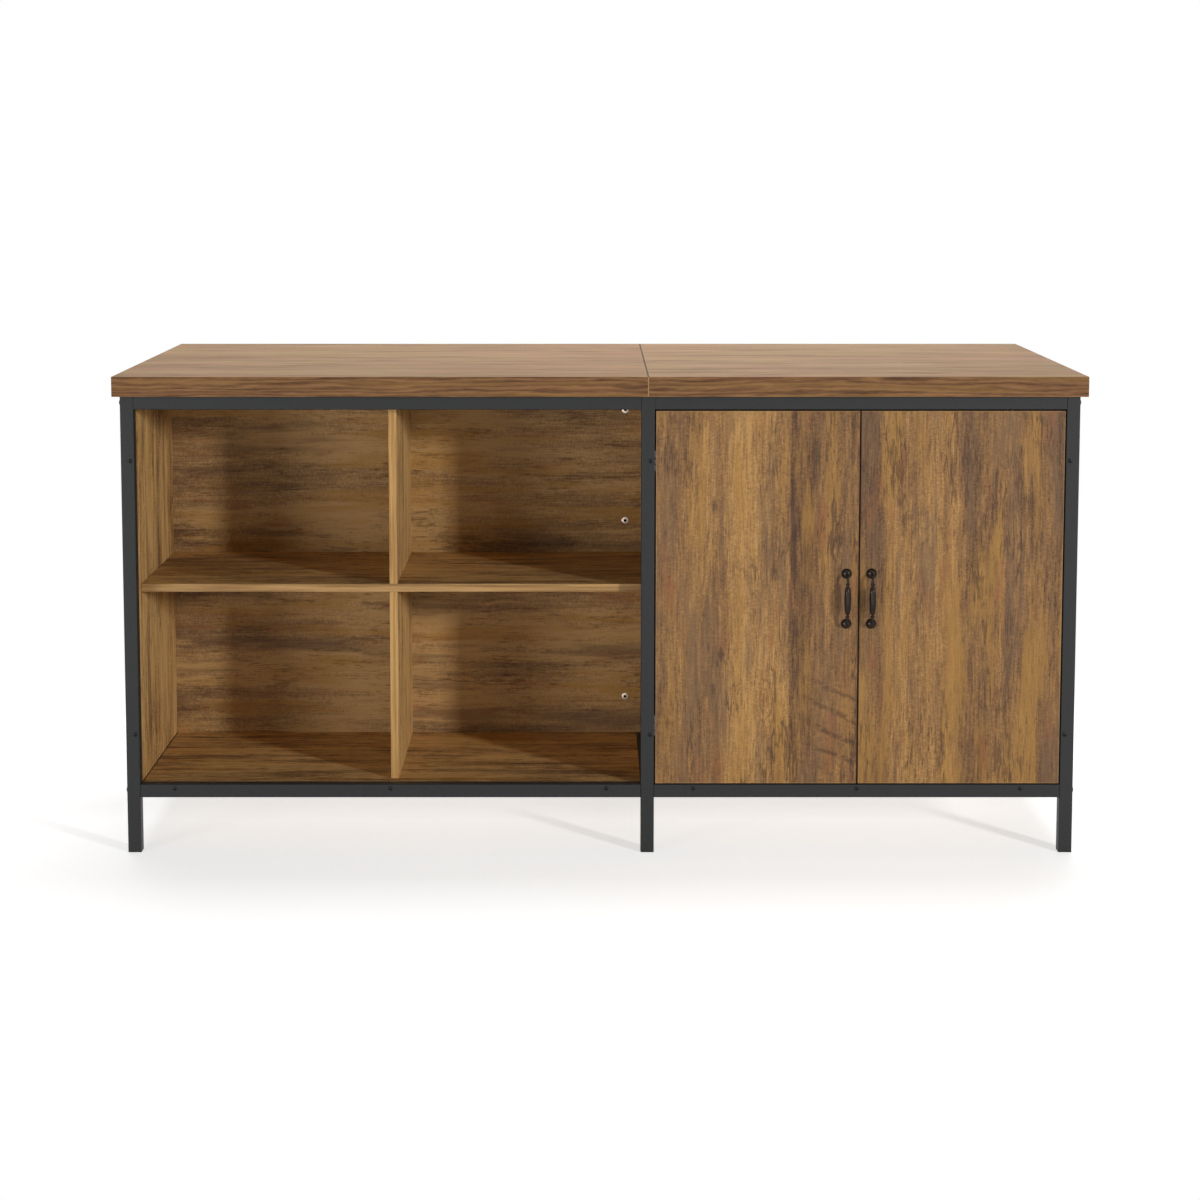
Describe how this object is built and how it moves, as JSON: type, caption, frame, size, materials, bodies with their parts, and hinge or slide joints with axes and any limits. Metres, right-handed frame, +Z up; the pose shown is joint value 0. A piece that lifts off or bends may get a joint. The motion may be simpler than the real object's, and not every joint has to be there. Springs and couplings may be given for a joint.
{
  "type": "kitchen island",
  "caption": "Wide kitchen island with a steel tube frame, open shelves on the left, an inset-door cupboard on the right, a two-piece wood worktop and open seating space behind.",
  "frame": {"origin": "on the floor, in the middle of the whole object's outline including the handles", "axes": "+X to the right seen from the door side, along the worktop; the doors face -Y; +Z up"},
  "size_m": [1.8288, 0.7772, 0.9144],
  "materials": {
    "worktop_wood": "matt wood-grain laminate",
    "board_wood": "matt rustic oak laminate",
    "door_wood": "matt rustic oak laminate",
    "dowel_wood": "bare beech",
    "frame_steel": "satin charcoal powder coat",
    "handle_bronze": "dark antique bronze",
    "hinge_nickel": "nickel plate",
    "cam_zinc": "dull zinc casting",
    "zinc_steel": "bright zinc plate",
    "black_screw_steel": "black oxide",
    "black_plastic": "moulded black plastic"
  },
  "bodies": {
    "root": {"back_panel_left": "board_wood", "back_panel_right": "board_wood", "cabinet_shelf": "board_wood", "cam_bolts": "zinc_steel", "cam_locks": "cam_zinc", "countertop_left": "worktop_wood", "countertop_right": "worktop_wood", "countertop_screws": "zinc_steel", "countertop_splines": "dowel_wood", "divider_panel": "board_wood", "end_frame_bolts": "black_screw_steel", "floor_panel_left": "board_wood", "floor_panel_right": "board_wood", "foot_plugs": "black_plastic", "front_bottom_rail_left": "frame_steel", "front_bottom_rail_right": "frame_steel", "front_top_rail_left": "frame_steel", "front_top_rail_right": "frame_steel", "hinge_arms": "hinge_nickel", "hinge_plate_screws": "zinc_steel", "hinge_plates": "hinge_nickel", "inner_bottom_rail_left": "frame_steel", "inner_bottom_rail_right": "frame_steel", "left_back_post": "frame_steel", "left_bottom_depth_rail": "frame_steel", "left_front_post": "frame_steel", "left_rear_post": "frame_steel", "left_side_panel": "board_wood", "left_top_depth_rail": "frame_steel", "mid_back_post": "frame_steel", "mid_bottom_depth_rail": "frame_steel", "mid_frame_studs": "black_screw_steel", "mid_front_post": "frame_steel", "mid_rear_post": "frame_steel", "mid_top_depth_rail": "frame_steel", "open_shelf": "board_wood", "panel_dowels": "dowel_wood", "partition_panel": "board_wood", "post_screws": "black_screw_steel", "rail_end_plugs": "black_plastic", "rail_screws": "black_screw_steel", "rear_top_rail_left": "frame_steel", "rear_top_rail_right": "frame_steel", "right_back_post": "frame_steel", "right_bottom_depth_rail": "frame_steel", "right_front_post": "frame_steel", "right_rear_post": "frame_steel", "right_side_panel": "board_wood", "right_top_depth_rail": "frame_steel", "shelf_pins": "zinc_steel"},
    "left_door": {"left_door": "door_wood", "left_handle": "handle_bronze", "left_door_screws": "zinc_steel", "left_hinge_cups": "hinge_nickel"},
    "right_door": {"right_door": "door_wood", "right_handle": "handle_bronze", "right_door_screws": "zinc_steel", "right_hinge_cups": "hinge_nickel"}
  },
  "joints": [
    {"name": "left_door_hinge", "type": "hinge", "parent": "root", "child": "left_door", "pos_m": [0.1042, -0.36115, 0.4916], "axis": [0, 0, -1], "range_deg": [0, 100]},
    {"name": "right_door_hinge", "type": "hinge", "parent": "root", "child": "right_door", "pos_m": [0.8751, -0.36115, 0.4916], "axis": [0, 0, 1], "range_deg": [0, 100]}
  ]
}
